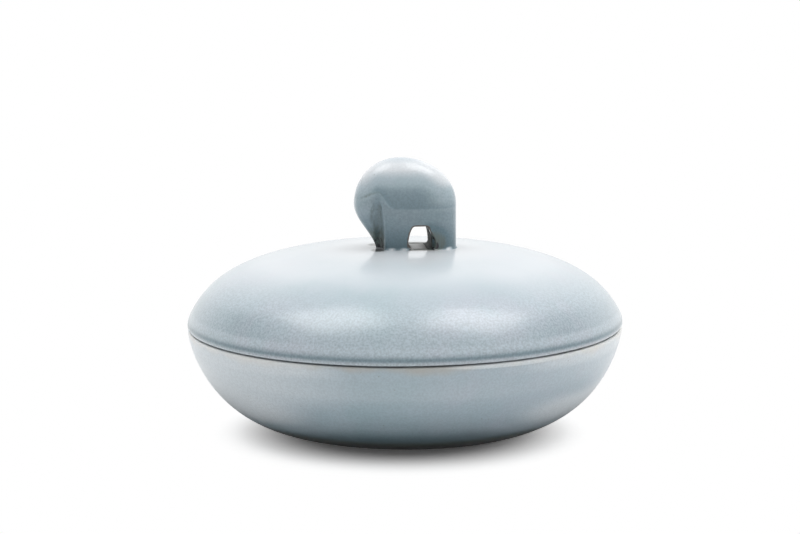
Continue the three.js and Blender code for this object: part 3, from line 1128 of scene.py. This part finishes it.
def lightWorld():
    s = studio
    world = bpy.data.worlds.new("studio")
    bpy.context.scene.world = world
    world.use_nodes = True
    tree = world.node_tree
    tree.nodes.clear()
    way = addNode(tree, "ShaderNodeTexCoord").outputs["Generated"]
    turned = addNode(tree, "ShaderNodeVectorRotate", {"Vector": way, "Angle": -sight}, rotation_type="Z_AXIS")
    way = turned.outputs[0]
    axes = addNode(tree, "ShaderNodeSeparateXYZ", {"Vector": way}).outputs
    level = lengthOf(tree, vectorCalc(tree, "MULTIPLY", way, (1, 1, 0)))
    aside = calc(tree, "DIVIDE", axes["X"], level)
    away = calc(tree, "DIVIDE", axes["Y"], level)
    start, full = s["sideSpan"]
    toward = {
        "back": mapped(tree, away, (start, full)),
        "left": mapped(tree, aside, (-start, -full)),
        "right": mapped(tree, aside, (start, full)),
    }
    up = mapped(tree, axes["Z"], s["highSpan"])
    over = mapped(tree, axes["Z"], s["topSpan"])
    bands = {"low": calc(tree, "SUBTRACT", 1.0, up), "high": calc(tree, "SUBTRACT", up, over)}
    glow = calc(tree, "MULTIPLY", over, s["top"])
    for band, share in bands.items():
        for side, amount in s[band].items():
            part = calc(tree, "MULTIPLY", calc(tree, "MULTIPLY", toward[side], share), amount)
            glow = calc(tree, "ADD", glow, part)
    path = addNode(tree, "ShaderNodeLightPath").outputs
    seen = calc(tree, "MAXIMUM", path["Is Camera Ray"], path["Is Glossy Ray"])
    seen = calc(tree, "MAXIMUM", seen, path["Is Transmission Ray"])
    glow = addNode(tree, "ShaderNodeMix", {0: seen, 2: glow, 3: 1.0}).outputs[0]   # seen white all round
    background = addNode(tree, "ShaderNodeBackground", {"Color": (1, 1, 1, 1), "Strength": glow})
    output = addNode(tree, "ShaderNodeOutputWorld")
    tree.links.new(background.outputs[0], output.inputs["Surface"])


def hangLamps():
    s = studio
    tilt = math.radians(s["lampTilt"])
    aim = Vector((0, 0, s["lampAim"]))
    for name, side in (("lampLeft", -1), ("lampRight", 1)):
        around = sight + math.radians(side * s["lampSide"])
        level = math.cos(tilt)
        way = Vector((math.sin(around) * level, -math.cos(around) * level, math.sin(tilt)))
        clearSelection()
        bpy.ops.object.light_add(
            type="AREA", location=aim + way * s["lampDistance"],
            rotation=(-way).to_track_quat("-Z", "Y").to_euler(),
        )
        lamp = bpy.context.object
        lamp.name = name
        lamp.data.size = s["lampSize"]
        lamp.data.energy = s["lampPower"]


def tableFinish():
    s = studio
    material = bpy.data.materials.new("table")
    material.use_nodes = True
    tree = material.node_tree
    tree.nodes.clear()
    at = addNode(tree, "ShaderNodeTexCoord").outputs["Object"]
    reach = lengthOf(tree, at)
    aside = (s["shadowShift"] * math.cos(sight), s["shadowShift"] * math.sin(sight), 0)
    moved = vectorCalc(tree, "MULTIPLY", vectorCalc(tree, "ADD", at, aside), s["shadowShape"])
    far = mapped(tree, lengthOf(tree, moved), s["shadowSpan"], (s["shadowLift"], 1))
    shade = mixColour(tree, mapped(tree, reach, s["tableNearSpan"]), s["tableNear"], s["table"])
    plain = addNode(tree, "ShaderNodeBsdfDiffuse", {"Color": shade}).outputs[0]
    bright = (*(s["tableGain"] * c for c in s["table"]), 1)
    lit = addNode(tree, "ShaderNodeBsdfDiffuse", {"Color": bright}).outputs[0]
    white = addNode(tree, "ShaderNodeEmission", {"Color": (1, 1, 1, 1), "Strength": 1.0}).outputs[0]
    seen = mixShader(tree, far, lit, white)
    mirrored = mixShader(tree, mapped(tree, reach, s["mirrorSpan"]), plain, white)
    path = addNode(tree, "ShaderNodeLightPath").outputs
    inGlaze = calc(tree, "MAXIMUM", path["Is Glossy Ray"], path["Is Transmission Ray"])
    both = mixShader(tree, path["Is Camera Ray"], mixShader(tree, inGlaze, plain, mirrored), seen)
    output = addNode(tree, "ShaderNodeOutputMaterial")
    tree.links.new(both, output.inputs["Surface"])
    return material


def makeTable():
    clearSelection()
    bpy.ops.mesh.primitive_plane_add(size=studio["tableSize"], location=(0, 0, 0))
    table = bpy.context.object
    table.name = "table"
    table.data.materials.append(tableFinish())


lightWorld()
hangLamps()
makeTable()
bpy.context.scene.view_settings.view_transform = "Standard"
print("table and lamps set")
